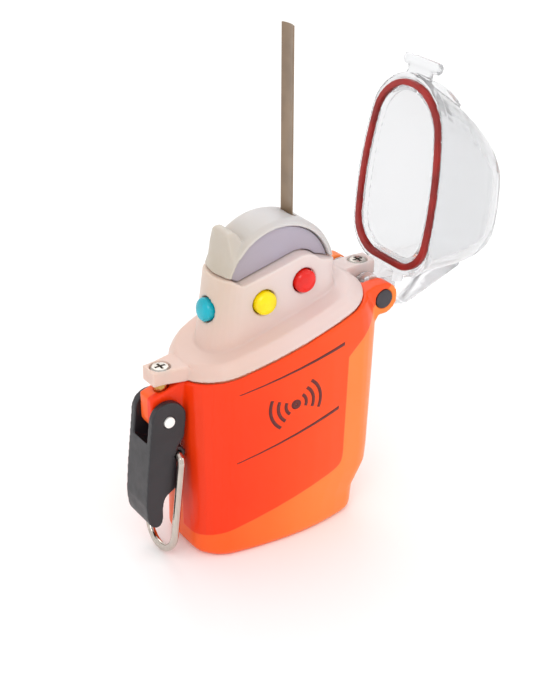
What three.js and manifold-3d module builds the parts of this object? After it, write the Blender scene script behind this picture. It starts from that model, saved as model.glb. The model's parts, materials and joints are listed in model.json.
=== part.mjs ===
// A palm-sized personal rescue beacon for boats and divers, in millimetres, +Z up, +Y to the back.
// The origin is the middle of the flat base. The clear lid stands open, as it does in use.
import * as THREE from "three";
import { mergeVertices } from "three/addons/utils/BufferGeometryUtils.js";
import Module from "manifold-3d";

const wasm = await Module();
wasm.setup();

// Driving dimensions.
const GAP = 0.3; // clearance between pieces that meet
const DECK_TILT = THREE.MathUtils.degToRad(16.8); // slope of the top deck, rising to the hinge
const DECK_X = 0.7; // middle of the deck's top face
const DECK_Z = 62.8;
const PLATE_THICK = 3.8; // deck plate, seam to top face
const CASE_LATCH_X = -24.2; // end wall under the latch
const CASE_HINGE_X = 32; // end wall under the hinge, at the top
const CASE_FOOT_X = 24.9; // the same end wall at the foot
const CASE_HALF = 19; // half depth at the seam
const CASE_FOOT_HALF = 16; // half depth at the foot
const CASE_TOP = 59; // height where the full half depth is reached
const CASE_WALL = 2.3;
const FOOT_ROUND = 2.5;
const CAVITY_HINGE_X = 22.5;
const TURRET_HALF = 8.6; // half depth of the turret wall
const TURRET_WALL = 1.8;
const TURRET_LATCH_X = -17.2;
const TURRET_HINGE_X = 20.4;
const TURRET_DRAFT = 0.17;
const COLLAR_Z = 77; // top of the turret wall at the latch end
const HOOD_HALF = 6.8; // half depth of the hood
const HOOD_X = 4; // middle of the hood's round back
const HOOD_Z = 72.4;
const HOOD_R = 17;
const HOOD_WALL = 2.2;
const CHEEK_R = 15.5; // side windows of the hood
const TAB_HALF = 3.05; // screw tabs at both ends of the deck
const TAB_THICK = 4.1;
const LATCH_TAB = { end: -32.4, top: 55.8, screw: -28.9 };
const HINGE_TAB = { end: 36.3, top: 69.6, screw: 32.6 };
const SCREW_HEAD_R = 2.6;
const SCREW_HEAD_DEEP = 1.7;
const SCREW_SHANK_R = 1.25;
const SCREW_LONG = 5.9;
const HINGE_X = 32;
const HINGE_Z = 63;
const HINGE_R = 4.4; // outside of the ears and of the lid's knuckles
const HINGE_PIN_R = 1.6;
const PIN_IN = 2.4; // inner end of each hinge pin
const PLUG_R = 2.6; // dark plug over each hinge pin
const INSERT_R = 1.9; // threaded insert under each cover screw
const INSERT_DEEP = 1.9;
const EAR_IN = 8.2; // ears, inner and outer face
const EAR_OUT = 12.9;
const ARM_IN = 3.5; // lid arms, inner and outer face
const ARM_OUT = 7.8;
const LID_OPEN = THREE.MathUtils.degToRad(114);
const LID_WALL = 1.8;
const LID_LIFT = 0.9; // underside of the closed lid's rim above the deck
const RIM_WIDE = 4.6; // flange round the lid's mouth
const RIM_THICK = 3;
const GASKET_TOP = 1.9;
const PIVOT_X = -29.8; // latch lever pivot
const PIVOT_Z = 42.2;
const PIVOT_R = 1.5;
const LUG_R = 3.7;
const LEVER_HALF = 5.5;
const LEVER_CLEAR = 7.8; // the lever's web stays this far from the pivot
const LEVER_CHANNEL = 3.4; // half width of the lever's fork
const WIRE_R = 1.05;
const WIRE_Y = 6.9; // bail legs, either side of the lever
const WIRE_X = -27.4; // bail pivot
const WIRE_Z = 31.5;
const WIRE_LONG = 30.1;
const BUTTON_R = 3.2;
const BUTTON_PROUD = 1.5;
const BUTTON_TRAVEL = 0.8;
const FRONT_BUTTONS = { yellow: { x: -2.96, z: 69.9 }, red: { x: 9.02, z: 72.9 } };
const END_BUTTON_Z = 67.9;
const END_BUTTON_X = -15.3;
const END_BUTTON_SHANK = 3.7;
const TAPE_X = 10.4; // spring tape antenna
const TAPE_Y = 1;
const TAPE_HALF = 2.5;
const TAPE_THICK = 0.4;
const TAPE_FOOT_Z = 79.8;
const TAPE_TOP_Z = 136.5;
const CELL_R = 8.5; // lithium cells, 17 mm by 34.5 mm
const CELL_HIGH = 34.5;
const CELL_X = 9.3; // half the distance between the cells
const CELL_MID = 0.3;
const CELL_FOOT_Z = 7.2;
const BOARD_TOP = 49;
const TRAY_HIGH = 13; // wall of the cell cradle

const group = new THREE.Group();

// Booleans.
function solid(geometry) {
  const bare = geometry.index ? geometry.toNonIndexed() : geometry.clone();
  bare.deleteAttribute("normal");
  bare.deleteAttribute("uv");
  const merged = mergeVertices(bare, 1e-4);
  const mesh = new wasm.Mesh({
    numProp: 3,
    vertProperties: new Float32Array(merged.attributes.position.array),
    triVerts: new Uint32Array(merged.index.array),
  });
  return new wasm.Manifold(mesh);
}

function geometryOf(body) {
  const mesh = body.getMesh();
  const geometry = new THREE.BufferGeometry();
  geometry.setAttribute("position", new THREE.BufferAttribute(mesh.vertProperties, 3));
  geometry.setIndex(new THREE.BufferAttribute(mesh.triVerts, 1));
  const flat = geometry.toNonIndexed();
  flat.computeVertexNormals();
  return flat;
}

const join = (first, ...rest) => rest.reduce((sum, next) => sum.add(next), first);
const cut = (first, ...rest) => rest.reduce((sum, next) => sum.subtract(next), first);

// Materials and nodes.
function finish(color, roughness, metalness = 0, opacity = 1) {
  return new THREE.MeshStandardMaterial({
    color,
    roughness,
    metalness,
    opacity,
    transparent: opacity < 1,
  });
}

const ORANGE = finish(0xff4a12, 0.4);
const FROST = finish(0xefe6e4, 0.35, 0, 0.8);
const SMOKE = finish(0xb3a6b3, 0.3, 0, 0.8);
const CLEAR = finish(0xf2f4f6, 0.06, 0, 0.35);
const BLACK = finish(0x26242a, 0.5);
const STEEL = finish(0xc4bfb8, 0.25, 1);
const BRASS = finish(0xc9a55a, 0.35, 1);
const RUBBER = finish(0xa81c12, 0.6);
const SEAL = finish(0xf0a078, 0.6);
const WHITE = finish(0xf4f2f0, 0.4);
const TAPE = finish(0x9b826c, 0.4, 0.6);
const BOARD = finish(0x1f6b3a, 0.5);
const CELL = finish(0x2a3f7a, 0.4);
const CERAMIC = finish(0xd8cfb8, 0.6);
const CYAN = finish(0x18b4cc, 0.25);
const YELLOW = finish(0xffe500, 0.25);
const RED = finish(0xff2a1a, 0.25);

function node(name, shape, material, parent = group) {
  const geometry = shape.isBufferGeometry ? shape : geometryOf(shape);
  const mesh = new THREE.Mesh(geometry, material);
  mesh.name = name;
  parent.add(mesh);
  return mesh;
}

// Outlines. A rounded outline lies along X, with its own half width and corner radius at each end
// and sides that swell by bulge.
function roundedOutline({ start, end, startHalf, endHalf, startRadius, endRadius, bulge }) {
  const half = [];
  const steps = 7;
  const corner = (cx, cy, radius, from) => {
    for (let i = 0; i <= steps; i++) {
      const angle = from + (i / steps) * (Math.PI / 2);
      half.push(new THREE.Vector2(cx + radius * Math.cos(angle), cy + radius * Math.sin(angle)));
    }
  };
  corner(end - endRadius, endHalf - endRadius, endRadius, 0);
  const sideFrom = end - endRadius;
  const sideTo = start + startRadius;
  for (let i = 1; i < steps; i++) {
    const t = i / steps;
    half.push(
      new THREE.Vector2(
        THREE.MathUtils.lerp(sideFrom, sideTo, t),
        THREE.MathUtils.lerp(endHalf, startHalf, t),
      ),
    );
  }
  corner(start + startRadius, startHalf - startRadius, startRadius, Math.PI / 2);
  const middle = (start + end) / 2;
  const reach = (end - start) / 2;
  const least = Math.min(startHalf, endHalf);
  for (const point of half) {
    const swell = 1 - ((point.x - middle) / reach) ** 2;
    point.y += bulge * swell * Math.min(1, Math.max(0, point.y) / least);
  }
  const mirrored = half.map((point) => new THREE.Vector2(point.x, -point.y)).reverse();
  return new THREE.Shape([...half, ...mirrored]);
}

// Extrudes an outline through a list of levels: each has a height z, a shift x, and scales along X
// (separately on the latch side and the hinge side of X = 0) and along Y.
// A level's mix blends towards a second outline with as many points.
function lofted(outline, levels, second = outline) {
  const steps = levels.length - 1;
  const geometry = new THREE.ExtrudeGeometry(outline, { depth: steps, steps, bevelEnabled: false });
  const at = geometry.attributes.position;
  const points = outline.getPoints();
  const others = second.getPoints();
  for (let i = 0; i < at.count; i++) {
    const level = levels[Math.round(at.getZ(i))];
    const here = new THREE.Vector2(at.getX(i), at.getY(i));
    const match = points.findIndex((point) => point.distanceTo(here) < 1e-4);
    const point = here.lerp(others[match], level.mix ?? 0);
    const scale = point.x < 0 ? level.latch : level.hinge;
    at.setXYZ(i, point.x * scale + (level.shift ?? 0), point.y * level.deep, level.z);
  }
  return geometry;
}

// Extrudes an outline drawn in X and Z along Y, from y0 to y1.
function across(outline, y0, y1, curveSegments = 12) {
  const geometry = new THREE.ExtrudeGeometry(outline, {
    depth: y1 - y0,
    bevelEnabled: false,
    curveSegments,
  });
  return geometry.rotateX(Math.PI / 2).translate(0, y1, 0);
}

const box = (x0, x1, y0, y1, z0, z1) =>
  new THREE.BoxGeometry(x1 - x0, y1 - y0, z1 - z0).translate(
    (x0 + x1) / 2,
    (y0 + y1) / 2,
    (z0 + z1) / 2,
  );

function polygon(...points) {
  return new THREE.Shape(points.map(([x, z]) => new THREE.Vector2(x, z)));
}

const uprightRod = (x, y, z0, z1, radius, sides = 24) =>
  new THREE.CylinderGeometry(radius, radius, z1 - z0, sides)
    .rotateX(Math.PI / 2)
    .translate(x, y, (z0 + z1) / 2);

const crossRod = (x, z, y0, y1, radius, sides = 24) =>
  new THREE.CylinderGeometry(radius, radius, y1 - y0, sides).translate(x, (y0 + y1) / 2, z);

// The sloping deck: x runs along it towards the hinge, z away from its top face.
const deck = new THREE.Matrix4().makeRotationY(-DECK_TILT).setPosition(DECK_X, 0, DECK_Z);
const onDeck = (geometry) => geometry.applyMatrix4(deck);

const plateOutline = roundedOutline({
  start: -26.9,
  end: 27.2,
  startHalf: 12.1,
  endHalf: 14.7,
  startRadius: 11.2,
  endRadius: 9.4,
  bulge: 4,
});

// Orange case: a hollow cup with a flat base, cut off along the seam under the deck.
const caseOutline = roundedOutline({
  start: CASE_LATCH_X,
  end: CASE_HINGE_X,
  startHalf: 12.3,
  endHalf: 14.9,
  startRadius: 11.4,
  endRadius: 9.6,
  bulge: 4.1,
});

// Plan of the foot before the taper: squarer at both ends than the top.
const footOutline = roundedOutline({
  start: CASE_LATCH_X,
  end: CASE_HINGE_X,
  startHalf: 14.2,
  endHalf: 14.8,
  startRadius: 7.8,
  endRadius: 5.6,
  bulge: 4.4,
});

function caseHalfAt(z) {
  const t = Math.min(1, Math.max(0, (z - FOOT_ROUND) / (CASE_TOP - FOOT_ROUND)));
  return THREE.MathUtils.lerp(CASE_FOOT_HALF, CASE_HALF, t);
}

// The end wall under the hinge: upright at the foot, a sloping step, then a slight flare.
const HINGE_WALL = [
  { z: FOOT_ROUND, x: CASE_FOOT_X },
  { z: 8, x: 25.5 },
  { z: 12, x: 28.1 },
  { z: 14.7, x: 29.8 },
  { z: 19, x: 30.3 },
  { z: 38, x: 31.2 },
  { z: 56, x: CASE_HINGE_X },
  { z: 62, x: 31 },
  { z: 68, x: 28 },
  { z: 70, x: 27.6 },
];

function caseBlank() {
  const levels = HINGE_WALL.map(({ z, x }) => ({
    z,
    latch: 1,
    hinge: x / CASE_HINGE_X,
    deep: caseHalfAt(z) / CASE_HALF,
    mix: Math.max(0, 1 - z / CASE_TOP),
  }));
  const foot = levels[0];
  const footLevel = (t) => {
    const inset = FOOT_ROUND * (1 - Math.sin((t * Math.PI) / 2));
    return {
      z: FOOT_ROUND * (1 - Math.cos((t * Math.PI) / 2)),
      latch: 1 - inset / -CASE_LATCH_X,
      hinge: foot.hinge - inset / CASE_HINGE_X,
      deep: foot.deep - inset / CASE_HALF,
      mix: 1,
    };
  };
  const roundLevels = [0.3, 0.55, 0.8].map(footLevel);
  roundLevels[0].z = 0;
  return solid(lofted(caseOutline, [...roundLevels, ...levels], footOutline));
}

function caseCavity() {
  const outline = roundedOutline({
    start: CASE_LATCH_X + CASE_WALL,
    end: CAVITY_HINGE_X,
    startHalf: 10.1,
    endHalf: 12.8,
    startRadius: 9.2,
    endRadius: 7.5,
    bulge: 3.7,
  });
  const level = (z) => ({ z, latch: 1, hinge: 1, deep: (caseHalfAt(z) - CASE_WALL) / 16.7 });
  return solid(lofted(outline, [CASE_WALL, CASE_TOP, 80].map(level)));
}

// Seal groove in the rim, drawn on the deck's frame.
function rimBand(inset, width, z0, z1) {
  const ring = (scaleBy, low, high) => {
    const level = { latch: 1 - scaleBy / 27, hinge: 1 - scaleBy / 27, deep: 1 - scaleBy / CASE_HALF };
    return solid(onDeck(lofted(plateOutline, [low, high].map((z) => ({ z, ...level })))));
  };
  return cut(ring(inset, z0, z1), ring(inset + width, z0 - 1, z1 + 1));
}

function latchLug() {
  const outline = new THREE.Shape();
  const top = LATCH_TAB.top - TAB_THICK - GAP;
  outline.moveTo(CASE_LATCH_X + 1.5, top);
  outline.lineTo(PIVOT_X - LUG_R, top);
  outline.lineTo(PIVOT_X - LUG_R, PIVOT_Z);
  outline.absarc(PIVOT_X, PIVOT_Z, LUG_R, Math.PI, 1.5 * Math.PI, false);
  outline.lineTo(CASE_LATCH_X + 1.5, PIVOT_Z - LUG_R);
  return cut(
    solid(across(outline, -TAB_HALF, TAB_HALF, 8)),
    solid(crossRod(PIVOT_X, PIVOT_Z, -TAB_HALF - 1, TAB_HALF + 1, PIVOT_R + 0.12)),
  );
}

// An ear, or the middle lug: a round end about the hinge axis on a foot that runs into the case.
function hingeEar(y0, y1, top) {
  const outline = new THREE.Shape();
  outline.moveTo(24, top);
  outline.lineTo(HINGE_X + (top < HINGE_Z + HINGE_R ? HINGE_R : 0), top);
  outline.absarc(HINGE_X, HINGE_Z, HINGE_R, top < HINGE_Z + HINGE_R ? 0 : Math.PI / 2, -1.9, true);
  outline.lineTo(27, 53);
  outline.lineTo(24, 53);
  return solid(across(outline, y0, y1, 14));
}

function buildCase() {
  const lugTop = HINGE_TAB.top - TAB_THICK - GAP;
  const earTop = HINGE_Z + HINGE_R;
  const seamCut = solid(onDeck(box(-45, 28.2, -30, 30, -PLATE_THICK, 40)));
  let body = join(caseBlank(), latchLug(), hingeEar(-EAR_OUT, -EAR_IN, earTop));
  body = join(body, hingeEar(EAR_IN, EAR_OUT, earTop), hingeEar(-TAB_HALF, TAB_HALF, lugTop));
  for (const side of [-1, 1]) {
    const y0 = Math.min(side * (ARM_IN - GAP), side * (ARM_OUT + GAP));
    const y1 = Math.max(side * (ARM_IN - GAP), side * (ARM_OUT + GAP));
    body = cut(body, solid(crossRod(HINGE_X, HINGE_Z, y0, y1, HINGE_R + 0.7, 32)));
    body = cut(body, solid(box(HINGE_X - 3.9, HINGE_X + 8, y0, y1, HINGE_Z, HINGE_Z + 12)));
  }
  const reach = EAR_OUT + 1;
  for (const side of [-1, 1]) {
    const from = side < 0 ? -reach : PIN_IN - GAP;
    const to = side < 0 ? GAP - PIN_IN : reach;
    body = cut(body, solid(crossRod(HINGE_X, HINGE_Z, from, to, HINGE_PIN_R + 0.12)));
    const plugFrom = side < 0 ? -reach : EAR_OUT - 1.2;
    const plugTo = side < 0 ? -EAR_OUT + 1.2 : reach;
    body = cut(body, solid(crossRod(HINGE_X, HINGE_Z, plugFrom, plugTo, PLUG_R + 0.12)));
  }
  const pocket = solid(box(26, 40, -TAB_HALF - GAP, TAB_HALF + GAP, lugTop, 90));
  body = cut(body, pocket);
  body = cut(body, caseCavity(), seamCut, rimBand(0.5, 1.1, -PLATE_THICK - 1.1, 0));
  for (const tab of [LATCH_TAB, HINGE_TAB]) {
    const seat = tab.top - TAB_THICK - GAP;
    body = cut(body, solid(uprightRod(tab.screw, 0, seat - INSERT_DEEP - 0.6, seat + 1, INSERT_R + 0.1)));
  }
  return body;
}

// Pale cover: the deck plate, its two screw tabs and the turret wall in one moulding.
const turretOutline = roundedOutline({
  start: TURRET_LATCH_X,
  end: TURRET_HINGE_X,
  startHalf: TURRET_HALF - 0.4,
  endHalf: TURRET_HALF,
  startRadius: 7.6,
  endRadius: 4.5,
  bulge: 0.4,
});

// Side view of everything below the hood: level at the latch end, then a slope along the deck
// and a hump round the red button.
function collarProfile(drop) {
  const outline = new THREE.Shape();
  const humpR = 7 - drop;
  const { x, z } = FRONT_BUTTONS.red;
  outline.moveTo(-40, 40);
  outline.lineTo(-40, COLLAR_Z - drop);
  outline.lineTo(-11.2, COLLAR_Z - drop);
  outline.lineTo(-9, 75.7 - drop);
  outline.lineTo(x - 2, z + humpR - 0.3);
  outline.absarc(x, z, humpR, 1.8, 0.75, true);
  outline.lineTo(TURRET_HINGE_X + 2, 75 - drop);
  outline.lineTo(40, 75 - drop);
  outline.lineTo(40, 40);
  return solid(across(outline, -30, 30, 10));
}

// The latch end leans in as it rises; the other sides are upright.
function turretSolid(inset, top = 92) {
  const level = (z) => ({
    z,
    latch: 1 - (inset + Math.max(0, z - 57) * TURRET_DRAFT) / -TURRET_LATCH_X,
    hinge: 1 - inset / TURRET_HINGE_X,
    deep: 1 - inset / TURRET_HALF,
  });
  return solid(lofted(turretOutline, [level(44), level(57), level(top)]));
}

function plateSolid() {
  const levels = [
    { z: GAP - PLATE_THICK, latch: 1, hinge: 1, deep: 1 },
    { z: -2.9, latch: 1, hinge: 1, deep: 1 },
    { z: -1, latch: 0.955, hinge: 0.955, deep: 0.9 },
    { z: -0.3, latch: 0.925, hinge: 0.925, deep: 0.85 },
    { z: 0, latch: 0.9, hinge: 0.9, deep: 0.82 },
  ];
  return solid(onDeck(lofted(plateOutline, levels)));
}

function tabSolid({ end, top }, root, flare) {
  const side = Math.sign(end);
  const outline = new THREE.Shape([
    new THREE.Vector2(root, side * (TAB_HALF + flare)),
    new THREE.Vector2(end - side * 3, side * TAB_HALF),
    new THREE.Vector2(end, side * (TAB_HALF - 0.25)),
    new THREE.Vector2(end, -side * (TAB_HALF - 0.25)),
    new THREE.Vector2(end - side * 3, -side * TAB_HALF),
    new THREE.Vector2(root, -side * (TAB_HALF + flare)),
  ]);
  const geometry = new THREE.ExtrudeGeometry(outline, { depth: TAB_THICK, bevelEnabled: false });
  return solid(geometry.translate(0, 0, top - TAB_THICK));
}

// The end button lies square to the leaning end wall.
const endPress = new THREE.Matrix4()
  .makeTranslation(END_BUTTON_X, 0, END_BUTTON_Z)
  .multiply(new THREE.Matrix4().makeRotationY(Math.atan(TURRET_DRAFT)))
  .multiply(new THREE.Matrix4().makeRotationZ(-Math.PI / 2));

function buttonHoles() {
  const clear = BUTTON_R + 0.25;
  const front = Object.values(FRONT_BUTTONS).map(({ x, z }) =>
    solid(crossRod(x, z, -TURRET_HALF - 3, -TURRET_HALF + 3.2, clear)),
  );
  const end = new THREE.CylinderGeometry(clear, clear, 6, 24).applyMatrix4(endPress);
  return join(...front, solid(end));
}

function buildCover() {
  const wall = turretSolid(0).intersect(collarProfile(0));
  const belowDeck = solid(onDeck(box(-50, 27.5, -30, 30, -40, GAP - PLATE_THICK)));
  const roofOpening = solid(
    box(TURRET_LATCH_X + 8, TURRET_HINGE_X - 3.8, -4.2, 4.2, COLLAR_Z - 12, COLLAR_Z + 20),
  );
  let cover = join(plateSolid(), wall);
  cover = join(cover, tabSolid(LATCH_TAB, -23, 1.6), tabSolid(HINGE_TAB, 25, 0));
  cover = cut(cover, turretSolid(TURRET_WALL).intersect(collarProfile(TURRET_WALL)));
  cover = cut(cover, belowDeck.subtract(solid(box(-50, -25.6, -9, 9, 40, 56))), roofOpening);
  cover = cut(cover, buttonHoles());
  for (const tab of [LATCH_TAB, HINGE_TAB]) {
    cover = cut(
      cover,
      solid(uprightRod(tab.screw, 0, tab.top - SCREW_HEAD_DEEP, tab.top + 2, SCREW_HEAD_R + 0.15)),
      solid(uprightRod(tab.screw, 0, tab.top - 6, tab.top, SCREW_SHANK_R + 0.2)),
    );
  }
  return cover;
}

// Hood: a round-backed cap with a thumb fin, open at both sides for the cheek windows.
function hoodBack() {
  const round = 2.4;
  const profile = [
    [0, -HOOD_HALF],
    [HOOD_R - round, -HOOD_HALF],
    [HOOD_R - 0.7, 0.7 - HOOD_HALF],
    [HOOD_R, round - HOOD_HALF],
    [HOOD_R, HOOD_HALF - round],
    [HOOD_R - 0.7, HOOD_HALF - 0.7],
    [HOOD_R - round, HOOD_HALF],
    [0, HOOD_HALF],
  ].map(([r, y]) => new THREE.Vector2(r, y));
  return solid(new THREE.LatheGeometry(profile, 56).translate(HOOD_X, 0, HOOD_Z));
}

function hoodFin() {
  const outline = new THREE.Shape();
  outline.moveTo(-30, COLLAR_Z - 10);
  outline.lineTo(-30, COLLAR_Z);
  outline.lineTo(-14.3, COLLAR_Z);
  outline.lineTo(-11.4, 86.1);
  outline.absarc(-9.2, 86.3, 2.1, Math.PI - 0.3, 0.45, true);
  outline.lineTo(-6.7, 85.2);
  outline.lineTo(HOOD_X, 82);
  outline.lineTo(HOOD_X, COLLAR_Z - 10);
  const side = solid(across(outline, -12, 12, 10));
  const wide = HOOD_HALF;
  const tip = 2.9;
  const end = polygon([-wide, 50], [wide, 50], [wide, 79], [tip, 90], [-tip, 90], [-wide, 79]);
  const taper = new THREE.ExtrudeGeometry(end, { depth: 80, bevelEnabled: false });
  taper.rotateZ(Math.PI / 2).rotateY(Math.PI / 2).translate(-30, 0, 0);
  return side.intersect(turretSolid(0.9)).intersect(solid(taper));
}

function cheekOutline(radius) {
  const outline = new THREE.Shape();
  outline.absarc(HOOD_X - 0.4, HOOD_Z, radius, 0, 2 * Math.PI, false);
  return outline;
}

function buildHood() {
  const inner = HOOD_HALF - 1.6;
  const core = solid(across(cheekOutline(CHEEK_R - 1.2), -20, 20, 24));
  const recess = solid(across(cheekOutline(CHEEK_R), -20, 20, 24));
  const web = solid(box(-40, 60, 1.2 - inner, inner - 1.2, 0, 200));
  let hood = join(hoodBack(), hoodFin()).subtract(collarProfile(-GAP));
  hood = hood.subtract(core).subtract(recess.subtract(web));
  const slot = box(TAPE_X - 0.8, TAPE_X + 0.8, TAPE_Y - 3.1, TAPE_Y + 3.1, HOOD_Z, HOOD_Z + 22);
  return hood.subtract(solid(slot));
}

function cheekWindow(side) {
  const inner = HOOD_HALF - 1.6 - 1.2 + GAP;
  const outer = inner + 1.1;
  const y0 = Math.min(side * inner, side * outer);
  const y1 = Math.max(side * inner, side * outer);
  const disc = solid(across(cheekOutline(CHEEK_R - GAP), y0, y1, 24));
  return disc.subtract(collarProfile(-GAP));
}

// Cover screws and their inserts.
function screw({ top, screw: x }, name) {
  const profile = [
    [0, -SCREW_LONG],
    [SCREW_SHANK_R, -SCREW_LONG],
    [SCREW_SHANK_R, -SCREW_HEAD_DEEP + GAP / 2],
    [SCREW_HEAD_R, -SCREW_HEAD_DEEP + GAP / 2],
    [SCREW_HEAD_R, -0.5],
    [SCREW_HEAD_R - 0.5, -0.1],
    [0, 0],
  ].map(([r, z]) => new THREE.Vector2(r, z));
  const blank = solid(new THREE.LatheGeometry(profile, 20).rotateX(Math.PI / 2));
  const slotA = solid(box(-1.5, 1.5, -0.35, 0.35, -1, 1));
  const slotB = solid(box(-0.35, 0.35, -1.5, 1.5, -1, 1));
  const mesh = node(name, cut(blank, slotA, slotB), STEEL);
  mesh.position.set(x, 0, top);
}

function insert({ top, screw: x }, name) {
  const high = top - TAB_THICK - GAP;
  const ring = cut(
    solid(uprightRod(0, 0, -INSERT_DEEP, 0, INSERT_R)),
    solid(uprightRod(0, 0, -INSERT_DEEP - 1, 1, SCREW_SHANK_R + 0.15)),
  );
  node(name, ring, BRASS).position.set(x, 0, high);
}

// Lid, drawn closed on the deck's frame and then swung open about the hinge. PIN_U and PIN_N are
// the hinge axis on the deck's frame.
const PIN_U = 30.07;
const PIN_N = -8.84;
const lidOpening = new THREE.Matrix4()
  .makeTranslation(HINGE_X, 0, HINGE_Z)
  .multiply(new THREE.Matrix4().makeRotationY(LID_OPEN))
  .multiply(new THREE.Matrix4().makeTranslation(-HINGE_X, 0, -HINGE_Z));

const lidOutline = roundedOutline({
  start: -26.2,
  end: 27.2,
  startHalf: 12.4,
  endHalf: 14.6,
  startRadius: 11.2,
  endRadius: 8.4,
  bulge: 3.5,
});

// Dome of the lid: height above the deck, reach towards each end and share of the full half depth.
const DOME = [
  { z: 2.7, latch: 25.1, hinge: 26.4, deep: 0.935 },
  { z: 8, latch: 22.2, hinge: 26.4, deep: 0.91 },
  { z: 12, latch: 20, hinge: 26.3, deep: 0.885 },
  { z: 16, latch: 17.6, hinge: 26.1, deep: 0.85 },
  { z: 20, latch: 14.7, hinge: 25.7, deep: 0.8 },
  { z: 24, latch: 11.4, hinge: 25, deep: 0.73 },
  { z: 27.5, latch: 8, hinge: 23.9, deep: 0.65 },
  { z: 30.3, latch: 4.4, hinge: 22.2, deep: 0.55 },
  { z: 32.3, latch: 0.8, hinge: 19.8, deep: 0.43 },
  { z: 33.4, latch: -2.6, hinge: 17.2, deep: 0.3 },
];

function lidLevels(wall) {
  return DOME.map(({ z, latch, hinge, deep }, i) => {
    const sink = wall * (i / (DOME.length - 1)) ** 0.7;
    const from = -latch + wall;
    const to = hinge - wall;
    return { z: z - sink, from, to, deep: deep - wall / 17.5 };
  }).map(({ z, from, to, deep }) => {
    const scale = (to - from) / 53.4;
    return { z, latch: scale, hinge: scale, deep, shift: (to + from) / 2 - 0.5 * scale };
  });
}

function lidBlank() {
  const flange = [
    { z: LID_LIFT, latch: 0.985, hinge: 0.985, deep: 0.98 },
    { z: LID_LIFT + 0.5, latch: 1, hinge: 1, deep: 1 },
    { z: 2.6, latch: 1, hinge: 1, deep: 1 },
    { z: 3.3, latch: 0.98, hinge: 0.992, deep: 0.965 },
  ];
  return join(solid(onDeck(lofted(lidOutline, flange))), solid(onDeck(lofted(lidOutline, lidLevels(0)))));
}

function lidHollow() {
  const levels = lidLevels(LID_WALL);
  const ceiling = { ...levels[0], z: RIM_THICK };
  levels[0].z = RIM_THICK + 0.7;
  return join(solid(onDeck(lofted(lidOutline, [ceiling, ...levels]))), gasketBand(RIM_WIDE, -1, 3.6));
}

// Hinge bracket: a wedge behind the dome that narrows to a knuckle, slotted for the screw tab.
function lidBracket() {
  const outline = new THREE.Shape();
  outline.moveTo(24, 21);
  outline.lineTo(24, LID_LIFT);
  outline.lineTo(28, LID_LIFT);
  outline.lineTo(28, PIN_N + 3.9);
  outline.absarc(PIN_U, PIN_N, HINGE_R, 2.06, 2 * Math.PI, false);
  outline.lineTo(35.3, 3.6);
  outline.lineTo(26.3, 21);
  const wedge = solid(onDeck(across(outline, -ARM_OUT, ARM_OUT, 14)));
  const slot = solid(onDeck(box(27, 50, -ARM_IN, ARM_IN, -30, LID_LIFT + 0.9)));
  const pinBore = solid(crossRod(HINGE_X, HINGE_Z, -20, 20, HINGE_PIN_R + 0.15));
  const between = solid(onDeck(box(20, 50, -ARM_IN, ARM_IN, -30, LID_LIFT - 0.1)));
  return cut(wedge, slot, between, pinBore);
}

// Hook at the latch end: a stem with a rolled crossbar, and a rounded rib on the dome behind it.
function lidHook() {
  const stem = solid(onDeck(box(-28.5, -23, -4.4, 4.4, 2.3, 4.1)));
  const bar = new THREE.CylinderGeometry(1.5, 1.5, 13.6, 14).scale(1.05, 1, 0.9);
  bar.translate(-28.9, 0, 3.7);
  const rib = new THREE.Shape();
  rib.moveTo(-20, 3);
  rib.lineTo(-25.2, 3);
  rib.quadraticCurveTo(-24.6, 11.5, -17.6, 17.6);
  rib.lineTo(-14, 15);
  return join(stem, solid(onDeck(bar)), solid(onDeck(across(rib, -2.2, 2.2, 8))));
}

function gasketBand(inset, z0, z1) {
  const level = (z) => ({
    z,
    latch: 1 - inset / 26.7,
    hinge: 1 - inset / 26.7,
    deep: 1 - inset / 18,
  });
  return solid(onDeck(lofted(lidOutline, [level(z0), level(z1)])));
}

function buildLid() {
  const groove = gasketBand(1.3, -1, GASKET_TOP + GAP).subtract(gasketBand(3.7, -2, 3));
  let lid = join(lidBlank(), lidBracket(), lidHook()).subtract(lidHollow());
  return lid.subtract(groove);
}

function buildGasket() {
  const outer = gasketBand(1.7, 0.3, GASKET_TOP);
  return outer.subtract(gasketBand(3.3, -2, 5));
}

function lidNode(name, shape, material) {
  const mesh = node(name, shape, material);
  mesh.applyMatrix4(lidOpening);
}

// Latch lever: two cheeks beside the lug, a spine below it and a boss that carries the bail.
function buildLever() {
  const outline = new THREE.Shape();
  outline.moveTo(-24.8, 42.7);
  outline.absarc(PIVOT_X, 42.7, 5, 0, Math.PI, false);
  outline.lineTo(-36.7, 27);
  outline.lineTo(-37.4, 19);
  outline.lineTo(-37.2, 15.6);
  outline.quadraticCurveTo(-36.8, 11.6, -34.2, 11.6);
  outline.quadraticCurveTo(-32.6, 12, -32.6, 15.2);
  outline.quadraticCurveTo(-32.6, 19.8, -31, 20.6);
  outline.lineTo(-28, 22.4);
  outline.lineTo(-28, 33.6);
  outline.lineTo(-25.6, 36.6);
  const blank = solid(across(outline, -LEVER_HALF, LEVER_HALF, 12));
  const boss = solid(crossRod(WIRE_X, WIRE_Z, -4.9, 4.9, 2.3));
  const sweep = solid(crossRod(PIVOT_X, PIVOT_Z, -LEVER_CHANNEL, LEVER_CHANNEL, LEVER_CLEAR, 40));
  const hollow = solid(box(-35, -25, -LEVER_CHANNEL, LEVER_CHANNEL, 16.4, 28.6));
  const bore = solid(crossRod(PIVOT_X, PIVOT_Z, -10, 10, PIVOT_R + 0.12));
  const wireBore = solid(crossRod(WIRE_X, WIRE_Z, -10, 10, WIRE_R + 0.15, 16));
  return cut(join(blank, boss), sweep, hollow, bore, wireBore);
}

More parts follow.
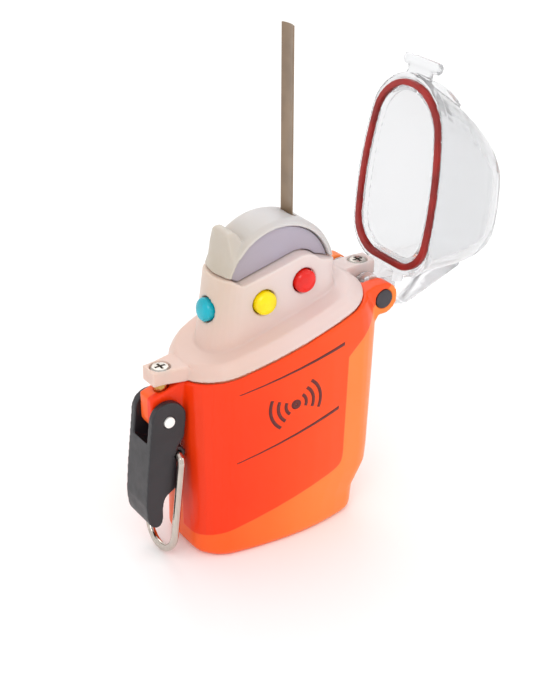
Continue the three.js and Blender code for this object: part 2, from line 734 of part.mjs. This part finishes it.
// Wire bail: two legs turned in at the top, joined by a half round, hanging from the lever.
const BAIL_LEAN = THREE.MathUtils.degToRad(7); // the legs lean out as they hang
class BailPath extends THREE.CurvePath {
  constructor() {
    super();
    const foot = WIRE_LONG - WIRE_Y;
    const at = (y, down) => {
      const x = WIRE_X - down * Math.sin(BAIL_LEAN);
      return new THREE.Vector3(x, y, WIRE_Z - down * Math.cos(BAIL_LEAN));
    };
    const bend = 2;
    const points = [at(-3.2, 0), at(bend - WIRE_Y, 0), at(-WIRE_Y, bend), at(-WIRE_Y, foot)];
    this.add(new THREE.LineCurve3(points[0], points[1]));
    this.add(new THREE.QuadraticBezierCurve3(points[1], at(-WIRE_Y, 0), points[2]));
    this.add(new THREE.LineCurve3(points[2], points[3]));
    const turns = 4;
    for (let i = 0; i < turns; i++) {
      const a0 = (i / turns) * Math.PI;
      const a1 = ((i + 1) / turns) * Math.PI;
      const mid = (a0 + a1) / 2;
      const reach = WIRE_Y / Math.cos((a1 - a0) / 2);
      const on = (a, r) => at(-r * Math.cos(a), foot + r * Math.sin(a));
      this.add(new THREE.QuadraticBezierCurve3(on(a0, WIRE_Y), on(mid, reach), on(a1, WIRE_Y)));
    }
    this.add(new THREE.LineCurve3(at(WIRE_Y, foot), at(WIRE_Y, bend)));
    this.add(new THREE.QuadraticBezierCurve3(at(WIRE_Y, bend), at(WIRE_Y, 0), at(WIRE_Y - bend, 0)));
    this.add(new THREE.LineCurve3(at(WIRE_Y - bend, 0), at(3.2, 0)));
  }
}

function buildBail() {
  const section = new THREE.Shape();
  section.absarc(0, 0, WIRE_R, 0, 2 * Math.PI, false);
  return solid(
    new THREE.ExtrudeGeometry(section, {
      steps: 64,
      curveSegments: 6,
      extrudePath: new BailPath(),
      bevelEnabled: false,
    }),
  );
}

// Push button: domed cap, shank through the wall and a flange behind it, pointing along -Y.
function buttonShape(wall = TURRET_WALL + 0.5) {
  const profile = [];
  profile.push([0, wall + 0.5], [BUTTON_R + 0.8, wall + 0.5], [BUTTON_R + 0.8, wall]);
  profile.push([BUTTON_R - 0.1, wall], [BUTTON_R - 0.1, -BUTTON_PROUD + 0.9]);
  profile.push([BUTTON_R - 0.55, -BUTTON_PROUD + 0.35], [BUTTON_R - 1.6, -BUTTON_PROUD + 0.05]);
  profile.push([0, -BUTTON_PROUD - 0.05]);
  const turned = profile.map(([r, y]) => new THREE.Vector2(r, y)).reverse();
  return new THREE.LatheGeometry(turned, 28);
}

// Spring tape antenna, slightly cupped across its width.
function buildTape() {
  const outline = new THREE.Shape();
  const cup = 0.5;
  outline.moveTo(0, -TAPE_HALF);
  outline.quadraticCurveTo(2 * cup, 0, 0, TAPE_HALF);
  outline.lineTo(-TAPE_THICK, TAPE_HALF);
  outline.quadraticCurveTo(2 * cup - TAPE_THICK, 0, -TAPE_THICK, -TAPE_HALF);
  const depth = TAPE_TOP_Z - TAPE_FOOT_Z;
  const tape = new THREE.ExtrudeGeometry(outline, { depth, bevelEnabled: false, curveSegments: 8 });
  return tape.translate(TAPE_X - 0.05, TAPE_Y, TAPE_FOOT_Z);
}

function buildAntennaMount() {
  const post = solid(box(8.7, 12.1, -2, 4, BOARD_TOP + GAP, 82));
  const slot = solid(box(TAPE_X - 0.75, TAPE_X + 0.75, -10, 10, TAPE_FOOT_Z - 0.3, 90));
  return post.subtract(slot);
}

// Cell cradle: a tray with two round seats.
function buildCradle() {
  const low = CELL_FOOT_Z - 4;
  const tray = join(
    solid(uprightRod(CELL_MID - CELL_X, 0, low, low + TRAY_HIGH, CELL_R + 1.4, 40)),
    solid(uprightRod(CELL_MID + CELL_X, 0, low, low + TRAY_HIGH, CELL_R + 1.4, 40)),
    solid(box(CELL_MID - 5, CELL_MID + 5, -7, 7, low, low + TRAY_HIGH)),
  );
  const seats = [-1, 1].map((side) =>
    solid(uprightRod(CELL_MID + side * CELL_X, 0, CELL_FOOT_Z - 1.6, low + 20, CELL_R + 0.3, 40)),
  );
  return cut(tray, ...seats);
}

function cellProfile() {
  const nub = 2.6;
  const top = CELL_FOOT_Z + CELL_HIGH;
  return [
    [0, CELL_FOOT_Z],
    [CELL_R - 0.6, CELL_FOOT_Z],
    [CELL_R, CELL_FOOT_Z + 0.6],
    [CELL_R, top - 1.8],
    [CELL_R - 0.8, top - 1],
    [nub, top - 1],
    [nub, top],
    [0, top],
  ].map(([r, z]) => new THREE.Vector2(r, z));
}

function cellNode(name, x) {
  const turned = new THREE.LatheGeometry(cellProfile(), 28).rotateX(Math.PI / 2);
  node(name, turned.translate(x, 0, 0), CELL);
}

node("case_shell", buildCase(), ORANGE);
node("case_seal", rimBand(0.75, 0.6, -PLATE_THICK - 0.8, -PLATE_THICK), SEAL);
node("top_cover", buildCover(), FROST);
node("hood", buildHood(), FROST);
node("cheek_window_front", cheekWindow(-1), SMOKE);
node("cheek_window_back", cheekWindow(1), SMOKE);
screw(LATCH_TAB, "cover_screw_latch_end");
screw(HINGE_TAB, "cover_screw_hinge_end");
insert(LATCH_TAB, "screw_insert_latch_end");
insert(HINGE_TAB, "screw_insert_hinge_end");

for (const [name, material] of [["yellow", YELLOW], ["red", RED]]) {
  const { x, z } = FRONT_BUTTONS[name];
  node(`button_${name}`, buttonShape(), material).position.set(x, -TURRET_HALF - 0.3, z);
}
const endButton = node("button_cyan", buttonShape(END_BUTTON_SHANK), CYAN);
endButton.applyMatrix4(endPress);

node("antenna_tape", buildTape(), TAPE);
node("antenna_mount", buildAntennaMount(), WHITE);

for (const [name, side] of [["front", -1], ["back", 1]]) {
  const inner = PIN_IN;
  const outer = EAR_OUT - 1.5;
  const y0 = side < 0 ? -outer : inner;
  const y1 = side < 0 ? -inner : outer;
  node(`hinge_pin_${name}`, crossRod(HINGE_X, HINGE_Z, y0, y1, HINGE_PIN_R), STEEL);
  const plugY = side * (EAR_OUT - 0.45);
  node(`hinge_plug_${name}`, crossRod(HINGE_X, HINGE_Z, plugY - 0.55, plugY + 0.55, PLUG_R), BLACK);
}

lidNode("lid_shell", buildLid(), CLEAR);
lidNode("lid_gasket", buildGasket(), RUBBER);

node("latch_lever", buildLever(), BLACK);
node("latch_pivot", crossRod(PIVOT_X, PIVOT_Z, -LEVER_HALF - 0.3, LEVER_HALF + 0.3, PIVOT_R), WHITE);
node("latch_bail", buildBail(), STEEL);

node("cell_cradle", buildCradle(), WHITE);
cellNode("cell_latch_side", CELL_MID - CELL_X);
cellNode("cell_hinge_side", CELL_MID + CELL_X);
for (const [name, side] of [["latch_side", -1], ["hinge_side", 1]]) {
  const x = CELL_MID + side * CELL_X;
  const spring = uprightRod(x, 0, CELL_FOOT_Z - 1.4, CELL_FOOT_Z - GAP, 3.4, 20);
  node(`contact_spring_${name}`, spring, STEEL);
}
const strapZ = CELL_FOOT_Z + CELL_HIGH + GAP;
node("contact_strap", box(CELL_MID - 12.5, CELL_MID + 12.5, -3, 3, strapZ, strapZ + 0.6), BRASS);
node("cell_clamp", box(CELL_MID - 15, CELL_MID + 15, -8, 8, strapZ + 0.9, BOARD_TOP - 1.5), WHITE);
node("gps_board", box(-11, 15, -9, 9, BOARD_TOP - 1.2, BOARD_TOP), BOARD);
node("gps_patch", box(-10, 8, -8, 8, BOARD_TOP + GAP, BOARD_TOP + 4.3), CERAMIC);
node("main_board", box(-11, 15, 9.2, 10.3, 17, 50), BOARD);
node("rf_shield", box(-3, 10, 10.6, 12.4, 26, 42), STEEL);
node("switch_board", box(-6.9, 14, -3.4, -2.4, 62, 76.4), BOARD);
for (const [name, material] of [["yellow", YELLOW], ["red", RED]]) {
  const { x, z } = FRONT_BUTTONS[name];
  node(`switch_${name}`, box(x - 2, x + 2, -5, -3.7, z - 2, z + 2), BLACK);
}
node("switch_cyan", box(-9.6, -8.6, -2, 2, END_BUTTON_Z - 2, END_BUTTON_Z + 2), BLACK);
node("end_board", box(-8.3, -7.3, -4.6, 4.6, 62.5, 73), BOARD);
node("strobe_board", box(-7, 7.5, -3.6, 3.6, 76.8, 77.8), BOARD);
const ledProfile = [
  [0, 0],
  [2.5, 0],
  [2.5, 3.2],
  [1.9, 4.7],
  [0.9, 5.5],
  [0, 5.7],
].map(([r, z]) => new THREE.Vector2(r, z));
const led = new THREE.LatheGeometry(ledProfile, 20).rotateX(Math.PI / 2);
node("strobe_led", led, CLEAR).position.set(0.5, 0, 78.1);

export default group;
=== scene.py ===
"""Looks for the pocket rescue beacon: moulded shells, rubber, glass-clear lid, wire and printed marks."""
import json
import math

import bmesh
import bpy
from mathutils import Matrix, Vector
from mathutils.bvhtree import BVHTree

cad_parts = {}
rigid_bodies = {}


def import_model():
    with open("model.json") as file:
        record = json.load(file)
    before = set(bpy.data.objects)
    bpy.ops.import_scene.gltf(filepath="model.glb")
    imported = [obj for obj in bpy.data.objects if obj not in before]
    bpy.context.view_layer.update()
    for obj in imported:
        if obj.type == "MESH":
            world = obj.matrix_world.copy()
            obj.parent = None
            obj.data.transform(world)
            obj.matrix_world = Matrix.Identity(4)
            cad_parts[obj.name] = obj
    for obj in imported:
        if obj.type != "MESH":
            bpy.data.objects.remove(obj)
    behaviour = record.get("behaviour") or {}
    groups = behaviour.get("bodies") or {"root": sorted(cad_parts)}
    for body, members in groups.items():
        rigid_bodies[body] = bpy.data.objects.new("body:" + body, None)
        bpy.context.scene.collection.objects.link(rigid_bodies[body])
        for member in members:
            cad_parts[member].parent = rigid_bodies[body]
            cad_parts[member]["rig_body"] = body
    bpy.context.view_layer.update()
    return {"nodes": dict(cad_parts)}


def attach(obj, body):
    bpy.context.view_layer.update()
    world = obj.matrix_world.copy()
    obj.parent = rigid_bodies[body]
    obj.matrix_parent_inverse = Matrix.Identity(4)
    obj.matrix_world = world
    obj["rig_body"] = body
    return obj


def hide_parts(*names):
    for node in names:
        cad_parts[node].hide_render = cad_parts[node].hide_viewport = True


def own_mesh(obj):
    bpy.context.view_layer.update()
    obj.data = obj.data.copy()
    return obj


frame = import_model()
MM = 0.001

CAMERA_PLACE = Vector((-0.1779, -0.2710, 0.2279))
CAMERA_AZIMUTH = -33.77
CAMERA_ELEVATION = 28.54
CAMERA_LENS = 72.28


# ---------------------------------------------------------------- shader helpers
def node(tree, kind, **values):
    n = tree.nodes.new(kind)
    for key, value in values.items():
        n.inputs[key].default_value = value
    return n


def math_node(tree, operation, *values, clamp=False):
    n = tree.nodes.new("ShaderNodeMath")
    n.operation = operation
    n.use_clamp = clamp
    for i, value in enumerate(values):
        if isinstance(value, bpy.types.NodeSocket):
            tree.links.new(value, n.inputs[i])
        else:
            n.inputs[i].default_value = value
    return n.outputs[0]


def mix(tree, factor, a, b):
    n = tree.nodes.new("ShaderNodeMix")
    n.data_type = "RGBA"
    for socket, value in ((n.inputs[0], factor), (n.inputs[6], a), (n.inputs[7], b)):
        if isinstance(value, bpy.types.NodeSocket):
            tree.links.new(value, socket)
        elif isinstance(value, (tuple, list)):
            socket.default_value = (*value[:3], 1.0)
        else:
            socket.default_value = value
    return n.outputs[2]


def remap(tree, value, low, high, to_low=0.0, to_high=1.0, smooth=True):
    n = tree.nodes.new("ShaderNodeMapRange")
    n.interpolation_type = "SMOOTHSTEP" if smooth else "LINEAR"
    n.inputs["From Min"].default_value = low
    n.inputs["From Max"].default_value = high
    n.inputs["To Min"].default_value = to_low
    n.inputs["To Max"].default_value = to_high
    tree.links.new(value, n.inputs["Value"])
    return n.outputs["Result"]


def srgb(r, g, b):
    def linear(c):
        c = c / 255
        return c / 12.92 if c <= 0.04045 else ((c + 0.055) / 1.055) ** 2.4

    return (linear(r), linear(g), linear(b))


class Surface:
    """A Principled material with object-space coordinates and a fine moulded texture."""

    def __init__(self, name, color, roughness, **sockets):
        self.material = bpy.data.materials.new(name)
        self.material.use_nodes = True
        self.tree = self.material.node_tree
        self.bsdf = self.tree.nodes["Principled BSDF"]
        self.bsdf.inputs["Roughness"].default_value = roughness
        for key, value in sockets.items():
            self.bsdf.inputs[key.replace("_", " ")].default_value = value
        self.bsdf.inputs["Base Color"].default_value = (*color, 1.0)
        self.coords = self.tree.nodes.new("ShaderNodeTexCoord").outputs["Object"]
        split = self.tree.nodes.new("ShaderNodeSeparateXYZ")
        self.tree.links.new(self.coords, split.inputs[0])
        self.x, self.y, self.z = split.outputs

    def noise(self, scale, detail=3.0, rough=0.5, stretch=None):
        n = node(self.tree, "ShaderNodeTexNoise", Scale=scale, Detail=detail, Roughness=rough)
        source = self.coords
        if stretch:
            mapping = node(self.tree, "ShaderNodeMapping", Scale=stretch)
            self.tree.links.new(self.coords, mapping.inputs[0])
            source = mapping.outputs[0]
        self.tree.links.new(source, n.inputs["Vector"])
        return n.outputs["Fac"]

    def tint(self, socket):
        self.tree.links.new(socket, self.bsdf.inputs["Base Color"])
        return self

    def vary(self, darker, lighter, scale):
        """Slow colour variation between two shades."""
        factor = remap(self.tree, self.noise(scale, 2.0), 0.35, 0.65)
        return self.tint(mix(self.tree, factor, darker, lighter))

    def rough(self, low, high, scale=400.0):
        value = remap(self.tree, self.noise(scale), 0.3, 0.7, low, high, smooth=False)
        self.tree.links.new(value, self.bsdf.inputs["Roughness"])
        return self

    def bump(self, height, strength=0.15, distance=0.0002):
        n = node(self.tree, "ShaderNodeBump", Strength=strength, Distance=distance)
        self.tree.links.new(height, n.inputs["Height"])
        self.tree.links.new(n.outputs[0], self.bsdf.inputs["Normal"])
        return self


def grain(surface, scale=1600.0, strength=0.12):
    return surface.bump(surface.noise(scale, 4.0, 0.6), strength)


# ---------------------------------------------------------------- materials
BRUSHED = (1, 1, 0.05)  # fine lines drawn out along Z
CASE_HOT = srgb(238, 54, 8)
CASE_ORANGE = srgb(246, 94, 30)
CASE_LIGHT = srgb(250, 128, 54)

# Edges of the case's deep front panel.
PANEL_RIGHT = 17.6 * MM  # hinge side, upright below the flare
PANEL_FLARE_Z = 52 * MM  # height where that side starts to lean out
PANEL_FLARE = 1.15
PANEL_RISE_X = 17.4 * MM  # the lower edge passes through (-PANEL_RISE_X, PANEL_RISE_Z)
PANEL_RISE_Z = 8.3 * MM
PANEL_RISE = 0.285
PANEL_FOOT = 5.4 * MM
PANEL_CORNER = 5 * MM


def case_material():
    """Two-tone orange moulding: a deep front panel inside a lighter band that runs down the
    hinge side and along the foot, with a fine step where they meet."""
    s = Surface("case_orange", CASE_ORANGE, 0.34, Coat_Weight=0.06, Specular_IOR_Level=0.22)
    t = s.tree
    right = math_node(t, "SUBTRACT", PANEL_RIGHT, s.x)
    flare = math_node(t, "MULTIPLY", math_node(t, "SUBTRACT", s.z, PANEL_FLARE_Z), PANEL_FLARE)
    right = math_node(t, "ADD", right, math_node(t, "MAXIMUM", flare, 0.0))
    rise = math_node(t, "MULTIPLY", math_node(t, "ADD", s.x, PANEL_RISE_X), PANEL_RISE)
    foot = math_node(t, "SUBTRACT", math_node(t, "SUBTRACT", s.z, PANEL_RISE_Z), rise)
    corner = math_node(t, "SMOOTH_MIN", right, foot, PANEL_CORNER)
    floor = math_node(t, "MINIMUM", corner, math_node(t, "SUBTRACT", s.z, PANEL_FOOT))
    front = math_node(t, "MULTIPLY", math_node(t, "ADD", s.y, 1 * MM), -1.0)
    inside = math_node(t, "MINIMUM", floor, front)
    panel = remap(t, inside, -0.2 * MM, 0.25 * MM)
    glow = remap(t, s.x, -24 * MM, 20 * MM)
    clouds = remap(t, s.noise(35.0, 2.0), 0.3, 0.7, -0.12, 0.12, smooth=False)
    shade = math_node(t, "ADD", glow, clouds, clamp=True)
    deep = mix(t, shade, CASE_HOT, srgb(244, 78, 22))
    edge = mix(t, shade, CASE_ORANGE, CASE_LIGHT)
    s.tint(mix(t, panel, edge, deep))
    height = math_node(t, "ADD", math_node(t, "MULTIPLY", s.noise(1500.0, 3.0), 0.06), panel)
    return s.rough(0.3, 0.4).bump(height, 0.35, 0.00012).material


def frosted_material(name, base, warm, cool, transmission):
    """Milky translucent moulding, warmer at the latch end and near the orange case."""
    s = Surface(name, base, 0.38, Transmission_Weight=transmission, IOR=1.46)
    t = s.tree
    along = remap(t, s.x, -20 * MM, 6 * MM)
    up = remap(t, s.z, 58 * MM, 74 * MM)
    body = mix(t, along, warm, cool)
    clouds = remap(t, s.noise(70.0, 2.0), 0.35, 0.65, 0.0, 0.25)
    body = mix(t, clouds, body, base)
    s.tint(mix(t, up, mix(t, 0.5, body, srgb(238, 200, 190)), body))
    s.bsdf.inputs["Subsurface Weight"].default_value = 0.5
    s.bsdf.inputs["Subsurface Radius"].default_value = (1.0, 0.8, 0.7)
    s.bsdf.inputs["Subsurface Scale"].default_value = 2.5 * MM
    return grain(s.rough(0.34, 0.46), 1800.0, 0.05).material


def clear_material():
    """Clear moulded lid: faint flow lines and a roughness that varies at random."""
    s = Surface("lid_clear", (0.86, 0.865, 0.875), 0.14, Transmission_Weight=0.86, IOR=1.2)
    t = s.tree
    ripple = s.noise(45.0, 2.0, 0.4)
    value = remap(t, s.noise(220.0), 0.3, 0.7, 0.08, 0.2, smooth=False)
    t.links.new(value, s.bsdf.inputs["Roughness"])
    return s.bump(ripple, 0.05, 0.0004).material


def gloss_material(name, color):
    s = Surface(name, color, 0.16, Coat_Weight=0.2, Specular_IOR_Level=0.3)
    darker = tuple(c * 0.86 for c in color)
    s.vary(darker, color, 260.0).rough(0.12, 0.22, 900.0)
    s.bsdf.inputs["Subsurface Weight"].default_value = 0.1
    s.bsdf.inputs["Subsurface Scale"].default_value = 0.8 * MM
    return grain(s, 2200.0, 0.03).material


def matte_material(name, color, low=0.45, high=0.6, spread=0.75, strength=0.25):
    s = Surface(name, color, 0.5)
    s.vary(tuple(c * spread for c in color), color, 140.0).rough(low, high)
    return grain(s, 2600.0, strength).material


def metal_material(name, color, low=0.18, high=0.34):
    s = Surface(name, color, 0.25, Metallic=1.0)
    lines = s.noise(2600.0, 4.0, 0.6, BRUSHED)
    s.tint(mix(s.tree, remap(s.tree, lines, 0.3, 0.7), tuple(c * 0.8 for c in color), color))
    return s.rough(low, high, 700.0).bump(lines, 0.12, 0.00006).material


def board_material():
    """Green solder mask with faint copper tracks and pads."""
    s = Surface("board_green", srgb(28, 104, 58), 0.4)
    t = s.tree
    brick = node(t, "ShaderNodeTexBrick", Scale=420.0)
    t.links.new(s.coords, brick.inputs["Vector"])
    tracks = remap(t, brick.outputs["Fac"], 0.4, 0.6)
    s.tint(mix(t, tracks, srgb(24, 92, 52), srgb(46, 132, 76)))
    return s.bump(tracks, 0.2, 0.00005).material


def cell_material():
    """Plain sleeve with a metal-coloured band near its foot."""
    s = Surface("cell_wrap", srgb(38, 60, 118), 0.35, Coat_Weight=0.5)
    t = s.tree
    band = remap(t, s.z, 11.0 * MM, 11.4 * MM)
    sleeve = mix(t, s.noise(120.0), srgb(34, 54, 108), srgb(46, 70, 132))
    s.tint(mix(t, band, srgb(190, 186, 178), sleeve))
    return grain(s.rough(0.25, 0.4), 900.0, 0.06).material


ORANGE = case_material()
FROST = frosted_material(
    "cover_frosted", srgb(232, 214, 210), srgb(220, 196, 176), srgb(234, 216, 212), 0.15
)
HOOD = frosted_material(
    "hood_frosted", srgb(212, 204, 196), srgb(196, 182, 160), srgb(212, 208, 208), 0.15
)
# Cheek windows: purple-grey painted shade, the shadow inside the concave scoop on the dome's front put
# into their colour
RECESS_SHADE = frosted_material(
    "cheek_painted_shade", srgb(186, 174, 184), srgb(180, 168, 172), srgb(190, 180, 194), 0.2
)
CLEAR = clear_material()
BLACK = matte_material("latch_black", srgb(36, 33, 37), 0.34, 0.46, 0.8, 0.12)
DARK = matte_material("plug_dark", srgb(58, 54, 60), 0.5, 0.65)
WHITE = matte_material("white_moulded", srgb(246, 244, 240), 0.35, 0.5, 0.95, 0.05)
GASKET = matte_material("gasket_red", srgb(158, 26, 18), 0.4, 0.6, 0.7, 0.35)
SEAL = matte_material("seal_peach", srgb(240, 160, 120), 0.5, 0.65)
CERAMIC = matte_material("patch_ceramic", srgb(214, 204, 180), 0.55, 0.7, 0.9)
TAPE = matte_material("tape_tan", srgb(138, 116, 94), 0.3, 0.42, 0.82, 0.1)
STEEL = metal_material("screw_steel", srgb(196, 190, 182))
WIRE = metal_material("wire_steel", srgb(206, 196, 186), 0.12, 0.24)
BRASS = metal_material("contact_brass", srgb(204, 168, 96))
BOARD = board_material()
CELL = cell_material()
CYAN = gloss_material("button_cyan_gloss", srgb(0, 172, 190))
YELLOW = gloss_material("button_yellow_gloss", srgb(250, 220, 0))
RED = gloss_material("button_red_gloss", srgb(232, 30, 20))
INK = matte_material("print_dark", srgb(96, 16, 8), 0.4, 0.5, 0.8, 0.05)

NODE_LOOKS = {
    "case_seal": SEAL,
    "cover_screw_latch_end": STEEL,
    "cover_screw_hinge_end": STEEL,
    "screw_insert_latch_end": BRASS,
    "screw_insert_hinge_end": BRASS,
    "antenna_mount": WHITE,
    "hinge_pin_front": STEEL,
    "hinge_pin_back": STEEL,
    "cell_cradle": WHITE,
    "cell_latch_side": CELL,
    "cell_hinge_side": CELL,
    "contact_spring_latch_side": STEEL,
    "contact_spring_hinge_side": STEEL,
    "contact_strap": BRASS,
    "cell_clamp": WHITE,
    "gps_board": BOARD,
    "gps_patch": CERAMIC,
    "main_board": BOARD,
    "rf_shield": STEEL,
    "switch_board": BOARD,
    "switch_yellow": DARK,
    "switch_red": DARK,
    "switch_cyan": DARK,
    "end_board": BOARD,
    "strobe_board": BOARD,
    "strobe_led": CLEAR,
}


def dress(cad_node, material):
    data = frame["nodes"][cad_node].data
    data.materials.clear()
    data.materials.append(material)


for cad_name, look in NODE_LOOKS.items():
    dress(cad_name, look)


# ---------------------------------------------------------------- moulded pieces
def link(name, mesh, material, body, slot, *replaced):
    mesh.materials.clear()
    mesh.materials.append(material)
    obj = bpy.data.objects.new(name, mesh)
    bpy.context.scene.collection.objects.link(obj)
    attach(obj, body)
    if replaced:
        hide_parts(*replaced)
    return obj


def bake(obj):
    """Applies the modifiers of obj to its mesh."""
    bpy.context.view_layer.update()
    evaluated = obj.evaluated_get(bpy.context.evaluated_depsgraph_get())
    mesh = bpy.data.meshes.new_from_object(evaluated)
    obj.modifiers.clear()
    old = obj.data
    obj.data = mesh
    bpy.data.meshes.remove(old)


def moulded(cad_node, name, material, slot, voxel, passes, keep):
    """A moulding with softened edges: the node's form, resurfaced evenly and relaxed.
    voxel is in millimetres and keep is the share of faces left."""
    source = frame["nodes"][cad_node]
    mesh = source.data.copy()
    obj = link(name, mesh, material, source["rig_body"], slot, cad_node)
    remesh = obj.modifiers.new("skin", "REMESH")
    remesh.mode = "VOXEL"
    remesh.voxel_size = voxel * MM
    remesh.use_smooth_shade = True
    relax = obj.modifiers.new("relax", "SMOOTH")
    relax.factor = 0.5
    relax.iterations = passes
    thin = obj.modifiers.new("thin", "DECIMATE")
    thin.ratio = keep
    bake(obj)
    for polygon in obj.data.polygons:
        polygon.use_smooth = True
    return obj


case = moulded("case_shell", "case_moulding", ORANGE, "orange_shell", 0.4, 6, 0.35)
moulded("top_cover", "cover_moulding", FROST, "frosted_cover", 0.3, 6, 0.4)
moulded("hood", "hood_moulding", HOOD, "frosted_cover", 0.25, 10, 0.5)
# The two cheek pieces carry the painted shade of the scoop on the dome
moulded("cheek_window_front", "cheek_front", RECESS_SHADE, "smoke_window", 0.2, 4, 0.4)
moulded("cheek_window_back", "cheek_back", RECESS_SHADE, "smoke_window", 0.2, 4, 0.4)
moulded("lid_shell", "lid_moulding", CLEAR, "clear_lid", 0.32, 10, 0.5)
moulded("lid_gasket", "gasket_ring", GASKET, "gasket_red", 0.18, 8, 0.5)
moulded("latch_lever", "lever_moulding", BLACK, "black_plastic", 0.25, 8, 0.5)
moulded("latch_bail", "bail_wire", WIRE, "wire_steel", 0.2, 4, 0.6)
moulded("latch_pivot", "pivot_pin", WHITE, "white_plastic", 0.12, 4, 0.6)
moulded("button_yellow", "button_yellow_cap", YELLOW, "button_yellow", 0.15, 5, 0.5)
moulded("button_red", "button_red_cap", RED, "button_red", 0.15, 5, 0.5)
moulded("button_cyan", "button_cyan_cap", CYAN, "button_cyan", 0.15, 5, 0.5)
moulded("hinge_plug_front", "plug_front", DARK, "black_plastic", 0.15, 4, 0.5)
moulded("hinge_plug_back", "plug_back", DARK, "black_plastic", 0.15, 4, 0.5)
tape = moulded("antenna_tape", "antenna_blade", TAPE, "tape_steel", 0.12, 2, 0.3)
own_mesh(tape)


# ---------------------------------------------------------------- printed marks
skin = BVHTree.FromPolygons(
    [v.co for v in case.data.vertices], [p.vertices[:] for p in case.data.polygons]
)
INK_LIFT = 0.04 * MM


def on_front(x, z):
    hit, normal, _, _ = skin.ray_cast(Vector((x, -0.1, z)), Vector((0, 1, 0)))
    return hit + normal * INK_LIFT


def printed(name, rows):
    """A film of ink on the case's front: rows of (x, z) points in millimetres."""
    bm = bmesh.new()
    grid = [[bm.verts.new(on_front(x * MM, z * MM)) for x, z in row] for row in rows]
    for a, b in zip(grid, grid[1:]):
        for i in range(len(a) - 1):
            bm.faces.new((a[i], a[i + 1], b[i + 1], b[i]))
    bmesh.ops.recalc_face_normals(bm, faces=bm.faces)
    mesh = bpy.data.meshes.new(name)
    bm.to_mesh(mesh)
    bm.free()
    mesh.polygons.foreach_set("use_smooth", [True] * len(mesh.polygons))
    obj = link(name, mesh, INK, "case", "orange_shell")
    thick = obj.modifiers.new("film", "SOLIDIFY")
    thick.thickness = 0.03 * MM
    bake(obj)
    return obj


def speed_line(name, start, end, wide):
    """A line that tapers from its hinge end to nothing."""
    (x0, z0), (x1, z1) = start, end
    steps = 60
    rows = []
    for i in range(steps + 1):
        t = i / steps
        half = wide / 2 * (0.25 + 0.75 * t)
        x, z = x0 + (x1 - x0) * t, z0 + (z1 - z0) * t
        rows.append([(x, z - half), (x, z), (x, z + half)])
    return printed(name, rows)


def ring_arc(name, cx, cz, radius, wide, a0, a1):
    """A band of ink along a circle about (cx, cz), from a0 to a1 degrees."""
    steps = 26
    rows = []
    for i in range(steps + 1):
        a = math.radians(a0 + (a1 - a0) * i / steps)
        radii = (radius - wide / 2, radius + wide / 2)
        rows.append([(cx + r * math.cos(a), cz + r * math.sin(a)) for r in radii])
    return printed(name, rows)


speed_line("mark_line_upper", (-14.4, 49.4), (15.8, 56.7), 1.0)
speed_line("mark_line_lower", (-15.2, 29.2), (15.0, 37.5), 1.0)
MARK_X, MARK_Z = 1.2, 43.0
MARK_LEAN = 15.5  # degrees, along the speed lines
WAVE_HALF = 38  # half the angle of each wave
ring_arc("mark_dot", MARK_X, MARK_Z, 0.75, 1.3, 0, 360)
for i, radius in enumerate((3.0, 5.2, 7.4)):
    wave = (MARK_X, MARK_Z, radius, 0.9)
    ring_arc(f"mark_wave_right_{i}", *wave, MARK_LEAN - WAVE_HALF, MARK_LEAN + WAVE_HALF)
    ring_arc(f"mark_wave_left_{i}", *wave, 180 + MARK_LEAN - WAVE_HALF, 180 + MARK_LEAN + WAVE_HALF)


# ---------------------------------------------------------------- studio
def studio():
    floor_mesh = bpy.data.meshes.new("floor")
    bm = bmesh.new()
    reach, back, high_wall = 2.5, 1.6, 2.4
    profile = [(-reach, 0.0), (back, 0.0)]
    for i in range(1, 13):
        a = i / 12 * math.pi / 2
        profile.append((back + 0.5 * math.sin(a), 0.5 - 0.5 * math.cos(a)))
    profile.append((back + 0.5, high_wall))
    rows = [[bm.verts.new((x, y, z)) for y, z in profile] for x in (-3.5, 3.5)]
    for i in range(len(profile) - 1):
        bm.faces.new((rows[0][i], rows[1][i], rows[1][i + 1], rows[0][i + 1]))
    bm.to_mesh(floor_mesh)
    bm.free()
    floor_mesh.polygons.foreach_set("use_smooth", [True] * len(floor_mesh.polygons))
    look = Surface("floor_white", (0.95, 0.95, 0.95), 0.6)
    look.vary((0.93, 0.93, 0.93), (0.96, 0.96, 0.96), 3.0)
    floor_mesh.materials.append(look.material)
    floor = bpy.data.objects.new("floor", floor_mesh)
    floor.rotation_euler.z = math.radians(CAMERA_AZIMUTH)
    bpy.context.scene.collection.objects.link(floor)
    world = bpy.data.worlds.new("studio")
    bpy.context.scene.world = world
    world.use_nodes = True
    world.node_tree.nodes["Background"].inputs[0].default_value = (1, 1, 1, 1)
    world.node_tree.nodes["Background"].inputs[1].default_value = 1.0
    lamps = (
        ("key", (-0.55, -0.55, 0.75), 0.5, 2.2),
        ("fill", (0.6, -0.7, 0.45), 0.6, 1.2),
        ("rim", (0.3, 0.7, 0.7), 0.6, 1.5),
    )
    target = Vector((0.01, 0, 0.06))
    for name, place, size, power in lamps:
        data = bpy.data.lights.new(name, "AREA")
        data.size = size
        data.energy = power
        lamp = bpy.data.objects.new(name, data)
        lamp.location = place
        lamp.rotation_euler = (target - Vector(place)).to_track_quat("-Z", "Y").to_euler()
        bpy.context.scene.collection.objects.link(lamp)


def camera():
    data = bpy.data.cameras.new("camera")
    data.sensor_width = 36
    data.lens = CAMERA_LENS
    data.clip_start = 0.01
    data.clip_end = 50
    obj = bpy.data.objects.new("camera", data)
    a, e = math.radians(CAMERA_AZIMUTH), math.radians(CAMERA_ELEVATION)
    back = Vector((math.sin(a) * math.cos(e), -math.cos(a) * math.cos(e), math.sin(e)))
    obj.location = CAMERA_PLACE
    obj.rotation_euler = (-back).to_track_quat("-Z", "Y").to_euler()
    bpy.context.scene.collection.objects.link(obj)
    bpy.context.scene.camera = obj


studio()
camera()
bpy.context.scene.view_settings.view_transform = "Standard"
